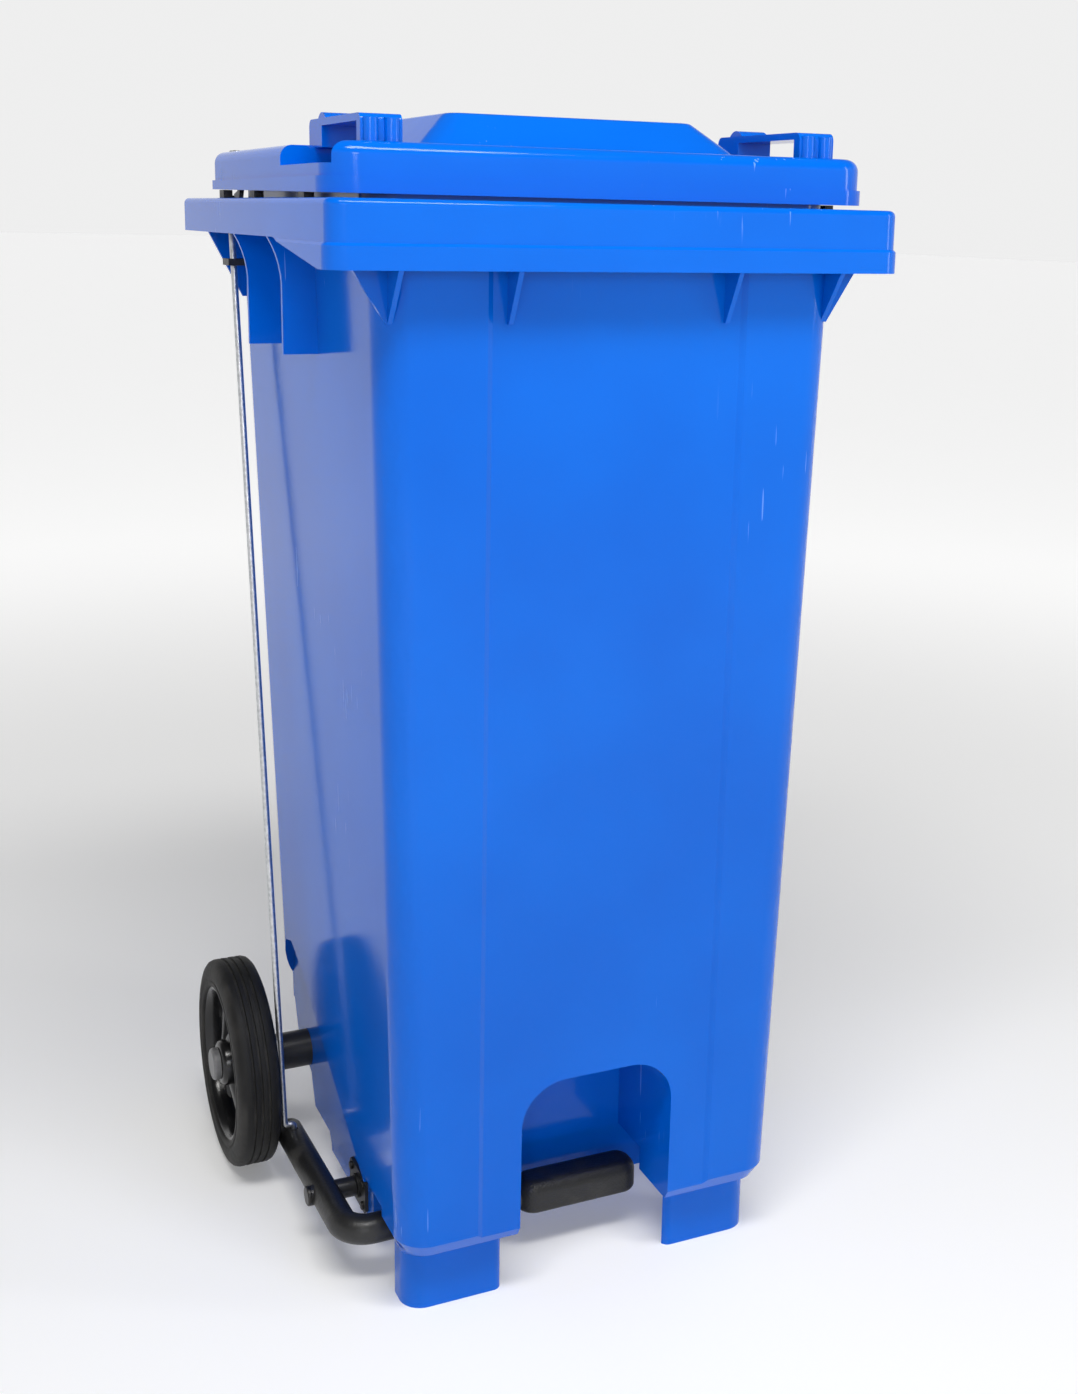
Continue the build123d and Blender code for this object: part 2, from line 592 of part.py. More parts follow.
# --- lid ------------------------------------------------------------------------
def lid_volume(inset):
    """The lid as a solid, with every face set in by inset."""
    x_half = HALF_RIM - LID_SIDE_INSET - inset
    y0 = LID_FRONT_INSET + inset
    y1 = LID_BACK - inset
    base = LID_BOTTOM - inset - 1 if inset else LID_BOTTOM
    top = LID_TOP - inset
    corner = LID_CORNER - inset
    band = rounded_block(x_half, y0, y1, base, LID_BOTTOM + LID_BAND - inset, corner)
    step = LID_BAND_PROUD
    crown_base = rounded_block(x_half - step, y0 + step, y1 - step, base, top, corner - step)
    crown_base = fillet(crown_base.edges().group_by(Axis.Z)[-1], LID_EDGE_ROUND - inset)
    volume = band + crown_base
    half = CROWN_HALF_WIDTH - inset
    back = RIM_DEPTH - CROWN_BACK - inset
    foot_outline = rounded(half, CROWN_FRONT + inset, back, top - 3, CROWN_CORNER)
    rise = CROWN_SLOPE
    head_outline = rounded(half - rise, CROWN_FRONT + inset + rise, back - rise,
                           top + CROWN_HEIGHT, CROWN_CORNER - 6)
    crown = loft([foot_outline, head_outline])
    volume += fillet(crown.edges().group_by(Axis.Z)[-1], CROWN_EDGE_ROUND - inset)
    hollow = finger_hollow(inset)
    return volume - hollow - mirror(hollow, about=Plane.YZ)


def finger_hollow(grow):
    """The space under one lid grip, cut down into the lid's top."""
    edge = HALF_RIM - LID_SIDE_INSET
    cut = block(edge - HOLLOW_REACH - grow, edge + 5, HOLLOW_FRONT - grow, HOLLOW_BACK + grow,
                LID_TOP - HOLLOW_DEPTH - grow, LID_TOP + 3)
    return fillet(cut.edges().filter_by(Axis.Z).group_by(Axis.X)[0], 12)


def grip():
    """One strap-like grip moulded on the lid."""
    x0 = GRIP_HALF_SPACING - GRIP_WIDTH / 2
    x1 = GRIP_HALF_SPACING + GRIP_WIDTH / 2
    top = LID_TOP + GRIP_HEIGHT
    floor = LID_TOP - HOLLOW_DEPTH - WALL / 2
    strap = block(x0, x1, GRIP_FRONT, GRIP_BACK, top - GRIP_BAR, top)
    front_leg = block(x0, x1, GRIP_FRONT, GRIP_FRONT + GRIP_FRONT_LEG, floor, top)
    rear_leg = block(x0, x1, GRIP_BACK - GRIP_REAR_LEG, GRIP_BACK, LID_TOP - WALL / 2, top)
    loop = strap + front_leg + rear_leg
    edges = loop.edges().filter_by(Axis.X).group_by(Axis.Z)[-1]
    loop = fillet(edges, 6)
    bump_y = GRIP_BACK - 26
    bump = round_x(14, x0 + 3, x1 - 3, bump_y, top - 9)
    bump = bump & block(x0, x1, bump_y - 20, bump_y + 20, top - 2, top + 10)
    loop += bump
    for x in (GRIP_HALF_SPACING - GRIP_WIDTH / 4, GRIP_HALF_SPACING + GRIP_WIDTH / 4):
        loop += Pos(x, GRIP_FRONT + 1, LID_TOP + GRIP_HEIGHT / 2 - 2) * Cylinder(6, GRIP_HEIGHT - 2)
    return loop


def lid_shell():
    """The moulded lid with its raised centre, two grips and two hinge knuckles."""
    lid = lid_volume(0) - lid_volume(WALL)
    lid += both_sides(grip())
    x0 = HINGE_HALF_SPACING - KNUCKLE_LENGTH / 2
    x1 = x0 + KNUCKLE_LENGTH
    arm = block(x0, x1, LID_BACK - WALL, HINGE_Y, HINGE_Z - 6, HINGE_Z + 6)
    knuckle = arm + round_x(KNUCKLE_RADIUS, x0, x1, HINGE_Y, HINGE_Z)
    knuckle -= round_x(HINGE_PIN_RADIUS + RUNNING_CLEARANCE, x0 - 1, x1 + 1, HINGE_Y, HINGE_Z)
    lid += both_sides(knuckle)
    lift = side_slab([(-10, LID_BOTTOM - 20), (-10, LID_BOTTOM - EPS),
                      (LID_FRONT_INSET, LID_BOTTOM - EPS),
                      (LID_BACK + 5, LID_BOTTOM + LID_REAR_LIFT),
                      (LID_BACK + 5, LID_BOTTOM - 20)], -HALF_RIM, HALF_RIM)
    lid -= lift
    for y, x in rivet_places():
        lid -= Pos(x, y, LID_TOP - WALL / 2) * Cylinder(2, 3 * WALL)
    return lid


def rivet_places():
    """The two rivets of the lug, as (depth, x)."""
    x = LUG_X - (LUG_FLANGE + LUG_THICKNESS) / 2
    return [(LUG_BACK - place, x) for place in RIVET_PLACES]


LUG_X = -side_wall_x(RIM_HEIGHT) - 5.5
LUG_BACK = LID_BACK - LID_BAND_PROUD - LID_EDGE_ROUND - LUG_CLEARANCE


def rod_lug():
    """Plate riveted under the lid; the rod's top pin works in its slot."""
    top = LID_TOP - WALL
    x1 = LUG_X
    x0 = LUG_X - LUG_THICKNESS
    low = ROD_TOP_Z - 11
    front = LUG_BACK - LUG_LENGTH
    plate = side_slab([(ROD_TOP_Y - 10, low + 3), (ROD_TOP_Y - 7, low), (ROD_TOP_Y + 9, low),
                       (ROD_TOP_Y + 13, low + 6), (ROD_TOP_Y + 13, ROD_TOP_Z + 6),
                       (LUG_BACK, ROD_TOP_Z + 11), (LUG_BACK, top), (front, top)], x0, x1)
    flange = block(x1 - LUG_FLANGE, x1, front, LUG_BACK, top - 3, top)
    width = ROD_RADIUS + 1.4
    slot = None
    for dy, dz in ((-0.5, -0.4), (1.4, 0.9), (3.3, 2.2), (5.7, 4.0)):
        hole = round_x(width, x0 - 1, x1 + 1, ROD_TOP_Y + dy, ROD_TOP_Z + dz)
        slot = hole if slot is None else slot + hole
    lug = plate + flange - slot
    for y, x in rivet_places():
        lug -= Pos(x, y, top - 1.5) * Cylinder(2, 8)
    return lug


def lug_rivets():
    """Blind rivets that hold the lug to the lid."""
    rivets = None
    for y, x in rivet_places():
        shank = Pos(x, y, LID_TOP - WALL / 2 - 1.5) * Cylinder(2, WALL + 3)
        head = Pos(x, y, LID_TOP + 0.8) * Cylinder(4.2, 1.6)
        head = fillet(head.edges().group_by(Axis.Z)[-1], 1)
        rivet = shank + head
        rivets = rivet if rivets is None else rivets + rivet
    return rivets


def lid_buffers():
    """Rubber pads on the deck that the lid's edge rests on."""
    x = HALF_RIM - LID_SIDE_INSET - 4
    pads = None
    for y in (RIM_DEPTH * 0.2, RIM_DEPTH * 0.5, RIM_DEPTH * 0.72):
        rise = LID_REAR_LIFT * (y - 8 - LID_FRONT_INSET) / (LID_BACK - LID_FRONT_INSET)
        height = LID_GAP + rise - 0.3
        pad = block(x - 4, x + 4, y - 8, y + 8, RIM_HEIGHT, RIM_HEIGHT + height)
        pads = pad if pads is None else pads + pad
    return both_sides(pads)


# --- hinge pins --------------------------------------------------------------------
def hinge_pin(side):
    """Headed pin through one pair of ears and the lid's knuckle."""
    half = KNUCKLE_LENGTH / 2 + EAR_CLEARANCE + EAR_THICKNESS
    centre = side * HINGE_HALF_SPACING
    pin = round_x(HINGE_PIN_RADIUS, centre - half - 4, centre + half + 4, HINGE_Y, HINGE_Z)
    outer = centre + side * half
    pin += round_x(7, outer, outer + side * 3, HINGE_Y, HINGE_Z)
    return pin


def hinge_cap(side):
    """Push-on cap at the inner end of a hinge pin."""
    half = KNUCKLE_LENGTH / 2 + EAR_CLEARANCE + EAR_THICKNESS
    inner = side * (HINGE_HALF_SPACING - half)
    cap = round_x(7, inner, inner - side * 5, HINGE_Y, HINGE_Z)
    return cap - round_x(HINGE_PIN_RADIUS, inner, inner - side * 4, HINGE_Y, HINGE_Z)


# --- pedal and lift rod -------------------------------------------------------------
def lever_path():
    """Centre line of the pedal tube: the arm, one bend, the crossbar."""
    return FilletPolyline((LEVER_X, LEVER_REAR, LEVER_REAR_HEIGHT),
                          (LEVER_X, LEVER_FRONT, LEVER_FRONT_HEIGHT),
                          (CROSSBAR_END, LEVER_FRONT, LEVER_FRONT_HEIGHT), radius=TUBE_BEND)


def location_plane(path):
    """The plane square to a path at its start."""
    return Plane(origin=path @ 0, z_dir=path % 0)


def tube_along(path, radius):
    """A round bar swept along a path from its start."""
    return sweep(location_plane(path) * Circle(radius), path=path)


SLEEVE_RADIUS = PIVOT_BOLT_RADIUS + PIVOT_BUSH_WALL + PIVOT_SLEEVE_WALL
SLEEVE_OUTER = LEVER_X - TUBE_RADIUS - 0.5
SLEEVE_INNER = -HOUSING_HALF_WIDTH - 6.0


def pedal_lever():
    """Bent steel tube: rear arm for the rod, pivot sleeve, front crossbar."""
    path = lever_path()
    lever = tube_along(path, TUBE_RADIUS) - tube_along(path, TUBE_RADIUS - TUBE_WALL)
    lever += round_x(SLEEVE_RADIUS, SLEEVE_OUTER, SLEEVE_INNER, PIVOT_PLACE, PIVOT_Z)
    bore = PIVOT_BOLT_RADIUS + PIVOT_BUSH_WALL
    lever -= round_x(bore, SLEEVE_OUTER - 1, SLEEVE_INNER + 1, PIVOT_PLACE, PIVOT_Z)
    width = ROD_RADIUS + ROD_CLEARANCE
    slot_top = lever_height(HOOK_Y) + TUBE_RADIUS + 2
    for shift in (-1, 11):
        lever -= Pos(LEVER_X, HOOK_Y + shift, slot_top - 5) * Cylinder(width, 10)
    lever -= block(LEVER_X - width, LEVER_X + width, HOOK_Y - 1, HOOK_Y + 11,
                   slot_top - 10, slot_top)
    return lever


def lever_end_plug():
    """Plastic plug that closes the rear end of the tube."""
    path = lever_path()
    tail = path % 0
    plane = Plane(origin=path @ 0, z_dir=(-tail.X, -tail.Y, -tail.Z))
    head = plane * (Pos(0, 0, 1.25) * Cylinder(TUBE_RADIUS, 2.5))
    stem = plane * (Pos(0, 0, -1) * Cylinder(TUBE_RADIUS - TUBE_WALL, 2))
    return head + stem


def pedal_pad():
    """Domed rubber pad pushed over the end of the crossbar."""
    centre_y = LEVER_FRONT - 3
    z0 = LEVER_FRONT_HEIGHT - PAD_HEIGHT / 2 + 3
    plan = RectangleRounded(PAD_END - PAD_START, PAD_DEPTH, PAD_CORNER)
    plan = Pos((PAD_START + PAD_END) / 2, centre_y, z0) * plan
    pad = extrude(plan, amount=PAD_HEIGHT, dir=(0, 0, 1))
    pad = fillet(pad.edges().group_by(Axis.Z)[-1], PAD_DOME)
    pad = fillet(pad.edges().group_by(Axis.Z)[0], 4)
    hollow = round_x(TUBE_RADIUS, PAD_START - 5, CROSSBAR_END, LEVER_FRONT, LEVER_FRONT_HEIGHT)
    return pad - hollow


def pivot_bush():
    """Nylon bush pressed in the lever's sleeve."""
    outer = PIVOT_BOLT_RADIUS + PIVOT_BUSH_WALL
    bush = round_x(outer, SLEEVE_OUTER, SLEEVE_INNER, PIVOT_PLACE, PIVOT_Z)
    hole = PIVOT_BOLT_RADIUS + RUNNING_CLEARANCE
    return bush - round_x(hole, SLEEVE_OUTER - 1, SLEEVE_INNER + 1, PIVOT_PLACE, PIVOT_Z)


def pivot_bolt():
    """Shoulder bolt that the lever turns on."""
    shank = round_x(PIVOT_BOLT_RADIUS, SLEEVE_OUTER - 1, -HOUSING_HALF_WIDTH, PIVOT_PLACE, PIVOT_Z)
    head = round_x(9, SLEEVE_OUTER - 3.5, SLEEVE_OUTER - 0.5, PIVOT_PLACE, PIVOT_Z)
    head = fillet(head.edges().group_by(Axis.X)[0], 1.5)
    return shank + head


def pivot_bracket():
    """Steel plate screwed to the tub, with a boss for the pivot bolt."""
    plate = block(-HOUSING_HALF_WIDTH - 3, -HOUSING_HALF_WIDTH, PIVOT_PLACE - 24,
                  PIVOT_PLACE + 24, PIVOT_Z - 17, PIVOT_Z + 17)
    plate = fillet(plate.edges().filter_by(Axis.X), 5)
    boss = round_x(11, SLEEVE_INNER + 0.5, -HOUSING_HALF_WIDTH - 2, PIVOT_PLACE, PIVOT_Z)
    bracket = plate + boss
    bracket -= round_x(PIVOT_BOLT_RADIUS, -HALF_RIM, -HOUSING_HALF_WIDTH + 1, PIVOT_PLACE, PIVOT_Z)
    for y, z in pivot_screw_places():
        bracket -= round_x(2, -HALF_RIM, -HOUSING_HALF_WIDTH + 1, y, z)
    return bracket


def bracket_screws():
    """Four self-tapping screws that hold the pedal bracket."""
    screws = None
    face = -HOUSING_HALF_WIDTH - 3
    for y, z in pivot_screw_places():
        head = round_x(3.8, face - 2.2, face, y, z)
        head = fillet(head.edges().group_by(Axis.X)[0], 1.2)
        screw = head + round_x(2, face, -HOUSING_HALF_WIDTH + WALL + 4, y, z)
        screws = screw if screws is None else screws + screw
    return screws


def lift_rod():
    """Galvanised rod from the lever's hook hole up to the lid's lug."""
    pin_end = LUG_X + 2.4
    path = FilletPolyline((LEVER_X, HOOK_Y, HOOK_Z - 12), (LEVER_X, HOOK_Y, HOOK_Z),
                          (ROD_X, HOOK_Y, HOOK_Z), (ROD_X, ROD_TOP_Y, ROD_TOP_Z),
                          (pin_end, ROD_TOP_Y, ROD_TOP_Z), radius=3.4)
    return tube_along(path, ROD_RADIUS)


def rod_clip():
    """Push-on retaining washer on the rod's top pin."""
    inner = LUG_X + 0.4
    return (round_x(6.5, inner, inner + 1.2, ROD_TOP_Y, ROD_TOP_Z)
            - round_x(ROD_RADIUS, inner, inner + 1.2, ROD_TOP_Y, ROD_TOP_Z))


def rod_guide():
    """Plastic guide clipped to the back corner fin, with a slot for the rod."""
    z0 = RIM_HEIGHT - COLLAR_SIDE_DROP - 30
    z1 = z0 + 6
    slope = (ROD_TOP_Y - HOOK_Y) / (ROD_TOP_Z - HOOK_Z)
    y1 = rod_y(z1) + ROD_CLEARANCE
    y0 = rod_y(z0) - slope * ROD_TRAVEL - ROD_CLEARANCE
    wall = -side_wall_x(z0)
    body = block(ROD_X - 8, wall, y0 - ROD_RADIUS - 5, y1 + ROD_RADIUS + 5, z0, z1)
    width = ROD_RADIUS + ROD_CLEARANCE
    slot = block(ROD_X - width, ROD_X + width, y0, y1, z0 - 1, z1 + 1)
    for y in (y0, y1):
        slot += Pos(ROD_X, y, (z0 + z1) / 2) * Cylinder(width, z1 - z0 + 2)
    return body - tub_volume(0) - slot


# --- write every node ----------------------------------------------------------------
os.makedirs("parts", exist_ok=True)
save(body_tub(), "body_tub")
save(lid_shell(), "lid_shell")
save(rod_lug(), "rod_lug")
save(lug_rivets(), "lug_rivets")
save(lid_buffers(), "lid_buffers")
save(pedal_lever(), "pedal_lever")
save(lever_end_plug(), "lever_end_plug")
save(pedal_pad(), "pedal_pad")
save(pivot_bush(), "pivot_bush")
save(pivot_bolt(), "pivot_bolt")
save(pivot_bracket(), "pivot_bracket")
save(bracket_screws(), "bracket_screws")
save(lift_rod(), "lift_rod")
save(rod_clip(), "rod_clip")
save(rod_guide(), "rod_guide")
axle_half = WHEEL_OUTER + SIDE_CLEARANCE
save(round_x(AXLE_RADIUS, -axle_half - 3, axle_half + 3, AXLE_Y, AXLE_Z), "axle")
for side, name in ((-1, "left"), (1, "right")):
    save(hinge_pin(side), f"hinge_pin_{name}")
    save(hinge_cap(side), f"hinge_cap_{name}")
    spacer = tube_piece(SPACER_RADIUS, AXLE_RADIUS, SPACER_LENGTH)
    save(on_axle(spacer, side, HOUSING_HALF_WIDTH), f"axle_spacer_{name}")
    washer = tube_piece(WASHER_RADIUS, AXLE_RADIUS, WASHER_THICKNESS)
    save(on_axle(washer, side, HOUSING_HALF_WIDTH + SPACER_LENGTH), f"axle_washer_{name}")
    save(on_axle(tyre(), side, WHEEL_CENTRE), f"tyre_{name}")
    save(on_axle(hub(), side, WHEEL_CENTRE), f"hub_{name}")
    save(on_axle(hub_bush(), side, WHEEL_CENTRE), f"hub_bush_{name}")
    save(on_axle(axle_cap(), side, WHEEL_OUTER - 1 + SIDE_CLEARANCE), f"axle_cap_{name}")
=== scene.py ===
import json
import math
import bmesh
import bpy
from mathutils import Matrix, Vector

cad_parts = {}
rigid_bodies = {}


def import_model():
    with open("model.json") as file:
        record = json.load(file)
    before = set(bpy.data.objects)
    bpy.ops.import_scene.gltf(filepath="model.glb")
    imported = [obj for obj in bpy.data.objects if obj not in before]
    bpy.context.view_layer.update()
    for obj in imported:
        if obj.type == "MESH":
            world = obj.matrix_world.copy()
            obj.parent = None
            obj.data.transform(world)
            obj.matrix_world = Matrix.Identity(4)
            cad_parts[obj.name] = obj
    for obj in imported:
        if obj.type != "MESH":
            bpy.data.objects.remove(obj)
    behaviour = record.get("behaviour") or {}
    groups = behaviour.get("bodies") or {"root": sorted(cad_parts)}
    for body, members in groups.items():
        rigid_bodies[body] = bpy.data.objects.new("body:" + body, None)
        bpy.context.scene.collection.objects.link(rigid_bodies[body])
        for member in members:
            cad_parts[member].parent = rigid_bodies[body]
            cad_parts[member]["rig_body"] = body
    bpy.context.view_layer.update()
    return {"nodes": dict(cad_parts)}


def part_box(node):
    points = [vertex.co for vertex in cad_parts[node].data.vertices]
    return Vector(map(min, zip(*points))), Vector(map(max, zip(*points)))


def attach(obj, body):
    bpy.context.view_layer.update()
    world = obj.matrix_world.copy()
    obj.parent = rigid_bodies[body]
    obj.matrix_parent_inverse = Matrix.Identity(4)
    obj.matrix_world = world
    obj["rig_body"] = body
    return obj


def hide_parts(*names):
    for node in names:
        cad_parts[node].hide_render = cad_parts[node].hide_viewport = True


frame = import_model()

scene = bpy.context.scene

# --- camera ---------------------------------------------------------------------
# A standing viewer a little left of the bin, with the eye at about the height of its
# rim. The small shift keeps the sides of the bin nearly upright in the view.
view = bpy.data.cameras.new("view")
view.sensor_fit = "VERTICAL"
view.sensor_height = 36.0
view.lens = 43.72
view.shift_x = -0.0466
view.shift_y = -0.0768
viewer = bpy.data.objects.new("viewer", view)
scene.collection.objects.link(viewer)
eye = (-0.5678, -1.4287, 0.9200)
heading, look_down, lean = 25.008, 12.407, 1.207   # degrees
aim = (Matrix.Rotation(math.radians(-heading), 4, "Z")
       @ Matrix.Rotation(math.radians(90 - look_down), 4, "X")
       @ Matrix.Rotation(math.radians(lean), 4, "Z"))
viewer.matrix_world = Matrix.Translation(eye) @ aim
scene.camera = viewer
scene.view_settings.view_transform = "Standard"


# --- shader arithmetic ------------------------------------------------------------
# Every finish is drawn with this one wrapper round a node socket. Sums on values become
# Math nodes, and node() adds any other kind.
class Wire:
    """A node socket that can be used in sums."""

    def __init__(self, tree, socket=None):
        self.tree = tree
        self.socket = socket

    def node(self, kind, settings=None, sockets=None, output=0):
        """Add a node, set it up, feed its sockets, and give back one output."""
        made = self.tree.nodes.new(kind)
        for key, value in (settings or {}).items():
            setattr(made, key, value)
        for key, value in (sockets or {}).items():
            if isinstance(value, Wire):
                self.tree.links.new(value.socket, made.inputs[key])
            else:
                made.inputs[key].default_value = value
        return Wire(self.tree, made.outputs[output])

    def math(self, operation, first, second=0.0):
        return self.node("ShaderNodeMath", {"operation": operation}, {0: first, 1: second})

    def __add__(self, other):
        return self.math("ADD", self, other)

    __radd__ = __add__

    def __sub__(self, other):
        return self.math("SUBTRACT", self, other)

    def __rsub__(self, other):
        return self.math("SUBTRACT", other, self)

    def __mul__(self, other):
        return self.math("MULTIPLY", self, other)

    __rmul__ = __mul__

    def between(self, low, high):
        """0 below low, 1 above high, smooth in between."""
        return self.node("ShaderNodeMapRange", {"interpolation_type": "SMOOTHSTEP"},
                         {"Value": self, "From Min": low, "From Max": high})

    def blend(self, colour_0, colour_1):
        """Mix two colours by this value."""
        return self.node("ShaderNodeMix", {"data_type": "RGBA"},
                         {"Factor": self, 6: colour_0, 7: colour_1}, output=2)

    def stretched(self, x, y, z):
        """This vector with each part multiplied."""
        return self.node("ShaderNodeVectorMath", {"operation": "MULTIPLY"},
                         {0: self, 1: (x, y, z)})

    def noise(self, scale, detail=2.0):
        """Noise at this vector, about 0.5 on average."""
        return self.node("ShaderNodeTexNoise", {}, {"Vector": self, "Scale": scale,
                                                    "Detail": detail})

    def relief(self, depth):
        """A surface normal from this value as a height; depth is in metres."""
        return self.node("ShaderNodeBump", {}, {"Height": self, "Distance": depth})


def finish(name, **fixed):
    """A new material with its uniform sockets set, and the Wire of its own place."""
    material = bpy.data.materials.new(name)
    material.use_nodes = True
    shader = material.node_tree.nodes["Principled BSDF"]
    for key, value in fixed.items():
        shader.inputs[key.replace("_", " ")].default_value = value
    place = Wire(material.node_tree).node("ShaderNodeTexCoord", output="Object")
    return material, place


def feed(material, **varying):
    """Link what changes over the surface to the shader."""
    tree = material.node_tree
    shader = tree.nodes["Principled BSDF"]
    for key, wire in varying.items():
        tree.links.new(wire.socket, shader.inputs[key.replace("_", " ")])


# --- studio ---------------------------------------------------------------------
# A plain pale room, the same on every side and dimmer overhead, with three soft lamps: one
# high in front, one on the left and a tall narrow one on the right. The plain pale floor also
# glows with a painted light of its own, dim near the bin and brighter away from it, equally
# all round, until it meets the room.
surround = bpy.data.worlds.new("surround")
surround.use_nodes = True
air = surround.node_tree
toward = Wire(air).node("ShaderNodeTexCoord", output="Generated")
height = Wire(air).node("ShaderNodeSeparateXYZ", {}, {"Vector": toward}, "Z")
wall_white, overhead_grey = (0.86, 0.86, 0.86, 1), (0.1, 0.1, 0.1, 1)
glow = height.between(0.12, 0.6).blend(wall_white, overhead_grey)
air.links.new(glow.socket, air.nodes["Background"].inputs["Color"])
scene.world = surround


def soft_lamp(name, place, target, size, watts, tint):
    """A rectangular soft lamp at a place, turned to a target."""
    lamp = bpy.data.lights.new(name, "AREA")
    lamp.shape = "RECTANGLE"
    lamp.size, lamp.size_y = size
    lamp.energy = watts
    lamp.color = tint
    holder = bpy.data.objects.new(name, lamp)
    holder.location = place
    gaze = Vector(target) - Vector(place)
    holder.rotation_euler = gaze.to_track_quat("-Z", "Y").to_euler()
    scene.collection.objects.link(holder)


soft_lamp("lamp_high", (-0.3, -1.25, 2.7), (0, -0.1, 0.6), (2.2, 0.5), 70, (1.0, 0.99, 0.97))
soft_lamp("lamp_front", (-1.3, -3.2, 1.5), (0, 0, 0.4), (0.8, 0.8), 20, (0.95, 0.97, 1.0))
soft_lamp("lamp_right", (2.2, -1.6, 1.4), (0, 0, 0.45), (0.3, 1.6), 12, (1.0, 1.0, 1.0))

floor_side, floor_front, floor_back = 30, -30, 60
floor_form = bmesh.new()
corners = [floor_form.verts.new(place) for place in
           ((-floor_side, floor_front, 0), (floor_side, floor_front, 0),
            (floor_side, floor_back, 0), (-floor_side, floor_back, 0))]
floor_form.faces.new(corners)
floor_mesh = bpy.data.meshes.new("floor")
floor_form.to_mesh(floor_mesh)
floor_form.free()
floor = bpy.data.objects.new("floor", floor_mesh)
scene.collection.objects.link(floor)
# The floor's emission is a painted glow, though the floor is no lamp: dim near the bin and
# brighter farther off, it lights the bin and sets what its lower walls reflect.
pale, place = finish("pale_floor", Emission_Strength=1.0)
away = place.node("ShaderNodeVectorMath", {"operation": "LENGTH"}, {0: place}, "Value")
painted_glow_near, painted_glow_far = (0.16, 0.16, 0.16, 1), (0.67, 0.67, 0.67, 1)
feed(pale, Base_Color=place.noise(0.7).blend((0.79, 0.79, 0.79, 1), (0.81, 0.81, 0.81, 1)),
     Emission_Color=away.between(0.5, 3.5).blend(painted_glow_near, painted_glow_far),
     Roughness=0.55 + place.noise(3.0) * 0.1)
floor_mesh.materials.append(pale)

# --- tub and lid ---------------------------------------------------------------------
# Injection-moulded blue polyethylene, glossy from the mould, with a faint orange-peel
# texture, cloudy colour and a few handling scratches. Its edges are the CAD's own: the
# rounding below is held to about 0.02 mm by the forms' shortest edges.
hdpe, place = finish("blue_polyethylene", IOR=1.5, Specular_IOR_Level=0.22)
cloud = place.noise(4.0, 3.0)
flow = place.stretched(30, 30, 2.0).noise(1.0, 3.0)
fine = place.noise(420.0)
scratch = (place.stretched(300, 300, 14).noise(1.0, 1.0).between(0.71, 0.74)
           * place.noise(7.0, 1.0).between(0.6, 0.68))
colour = cloud.between(0.3, 0.7).blend((0.0, 0.098, 0.53, 1), (0.0, 0.118, 0.6, 1))
colour = (scratch * 0.3).blend(colour, (0.3, 0.5, 0.95, 1))
peel = place.noise(60.0, 1.0) + fine * 0.12 - scratch * 0.3
feed(hdpe, Base_Color=colour, Roughness=0.08 + fine * 0.03 + flow * 0.05 + scratch * 0.3,
     Normal=peel.relief(0.00006))


def even_out(node, width, material):
    """A form of a CAD node with its flat faces merged and evenly shaded, to stand for it."""
    flat, sharp = math.radians(1.0), math.radians(24)
    weld = 1e-6
    source = frame["nodes"][node]
    mesh = source.data.copy()
    form = bmesh.new()
    form.from_mesh(mesh)
    bmesh.ops.remove_doubles(form, verts=form.verts, dist=weld)
    bmesh.ops.dissolve_limit(form, angle_limit=flat, verts=form.verts, edges=form.edges,
                             use_dissolve_boundaries=False)
    for face in form.faces:
        face.smooth = True
    form.to_mesh(mesh)
    form.free()
    mesh.materials.clear()
    mesh.materials.append(material)
    piece = bpy.data.objects.new(node + "_form", mesh)
    scene.collection.objects.link(piece)
    rounding = piece.modifiers.new("rounding", "BEVEL")
    rounding.width = width
    rounding.segments = 3
    rounding.limit_method = "ANGLE"
    rounding.angle_limit = sharp
    even = piece.modifiers.new("even", "WEIGHTED_NORMAL")
    even.keep_sharp = True
    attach(piece, source["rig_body"])
    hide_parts(node)


tub_edge, lid_edge = 0.0013, 0.0016
even_out("body_tub", tub_edge, hdpe)
even_out("lid_shell", lid_edge, hdpe)


# --- tyres ------------------------------------------------------------------------
# Solid black rubber tyres with three tread grooves and a bead lip against the hub,
# grey with dust in the grooves and matt on the sidewalls.
def turned(name, profile, centre, side, material, node):
    """A closed ring turned round the axle; profile is (outward, radius) pairs."""
    form = bmesh.new()
    steps = 96
    rings = []
    for step in range(steps):
        turn = math.tau * step / steps
        rings.append([form.verts.new(centre + Vector((side * out, radius * math.sin(turn),
                                                      radius * math.cos(turn))))
                      for out, radius in profile])
    for step in range(steps):
        ring, following = rings[step], rings[(step + 1) % steps]
        for index in range(len(profile)):
            after = (index + 1) % len(profile)
            form.faces.new((ring[index], ring[after], following[after], following[index]))
    bmesh.ops.recalc_face_normals(form, faces=form.faces)
    return settle(name, form, material, node)


def settle(name, form, material, node):
    """Finish a piece built in mesh code: smooth shading, material and body."""
    crease = math.radians(38)
    mesh = bpy.data.meshes.new(name)
    form.to_mesh(mesh)
    form.free()
    mesh.shade_smooth()
    mesh.set_sharp_from_angle(angle=crease)
    mesh.materials.append(material)
    piece = bpy.data.objects.new(name, mesh)
    scene.collection.objects.link(piece)
    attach(piece, frame["nodes"][node]["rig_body"])
    return piece


